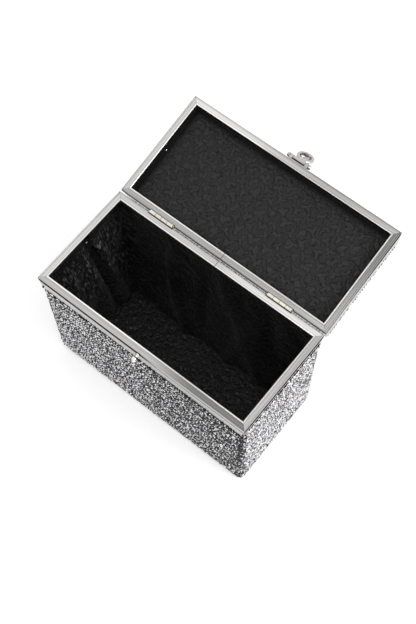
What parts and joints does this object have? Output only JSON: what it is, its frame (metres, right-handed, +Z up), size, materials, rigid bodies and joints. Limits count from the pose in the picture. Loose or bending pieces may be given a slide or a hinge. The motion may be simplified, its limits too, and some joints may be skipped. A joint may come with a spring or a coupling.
{
  "type": "box clutch bag",
  "caption": "Rectangular hard-case evening bag covered in small clear stones, shown open: mitred metal frames, knuckle hinges at the rear and a hinged hasp that snaps over a ball stud.",
  "frame": {"origin": "middle of the flat underside of the base", "axes": "+X along the case's long side, +Y from the latch side towards the hinges, +Z up through the open mouth"},
  "size_m": [0.18, 0.1993, 0.1393],
  "materials": {
    "brushed_frame": "brushed silver-tone plating",
    "hinge_metal": "satin pale nickel",
    "polished_metal": "polished silver-tone plating",
    "spring_steel": "drawn wire",
    "shell_board": "plain moulded",
    "stone_mesh": "faceted clear stones on a dark mesh",
    "base_leather": "smooth black",
    "black_lining": "black woven satin",
    "charcoal_jacquard": "charcoal tone-on-tone jacquard"
  },
  "bodies": {
    "body": {"base_panel": "base_leather", "body_cover": "stone_mesh", "body_frame": "brushed_frame", "body_lining": "black_lining", "body_seam_splice": "brushed_frame", "body_shell": "shell_board", "body_side_block_left": "brushed_frame", "body_side_block_right": "brushed_frame", "body_side_screw_left": "polished_metal", "body_side_screw_right": "polished_metal", "catch_nut": "brushed_frame", "catch_stud": "polished_metal", "hinge_left_body_leaf": "hinge_metal", "hinge_left_body_rivet_1": "polished_metal", "hinge_left_body_rivet_2": "polished_metal", "hinge_left_pin": "hinge_metal", "hinge_right_body_leaf": "hinge_metal", "hinge_right_body_rivet_1": "polished_metal", "hinge_right_body_rivet_2": "polished_metal", "hinge_right_pin": "hinge_metal"},
    "lid": {"hinge_left_lid_leaf": "hinge_metal", "hinge_left_lid_rivet_1": "polished_metal", "hinge_left_lid_rivet_2": "polished_metal", "hinge_right_lid_leaf": "hinge_metal", "hinge_right_lid_rivet_1": "polished_metal", "hinge_right_lid_rivet_2": "polished_metal", "latch_bracket": "polished_metal", "latch_pin": "polished_metal", "latch_rivet_left": "polished_metal", "latch_rivet_right": "polished_metal", "lid_cover": "stone_mesh", "lid_frame": "brushed_frame", "lid_lining_panel": "charcoal_jacquard", "lid_seam_splice": "brushed_frame", "lid_shell": "shell_board", "lid_side_block_left": "brushed_frame", "lid_side_block_right": "brushed_frame", "lid_side_lining": "black_lining", "lid_side_screw_left": "polished_metal", "lid_side_screw_right": "polished_metal"},
    "latch": {"latch_hasp": "polished_metal", "latch_spring_left": "spring_steel", "latch_spring_right": "spring_steel"}
  },
  "joints": [
    {"name": "lid_hinge", "type": "hinge", "parent": "body", "child": "lid", "pos_m": [0, 0.0443, 0.12015], "axis": [1, 0, 0], "range_deg": [0, 167.3]},
    {"name": "latch_pivot", "type": "hinge", "parent": "lid", "child": "latch", "pos_m": [0, 0.13482, 0.13424], "axis": [1, 0, 0], "range_deg": [0, 132.7]}
  ]
}
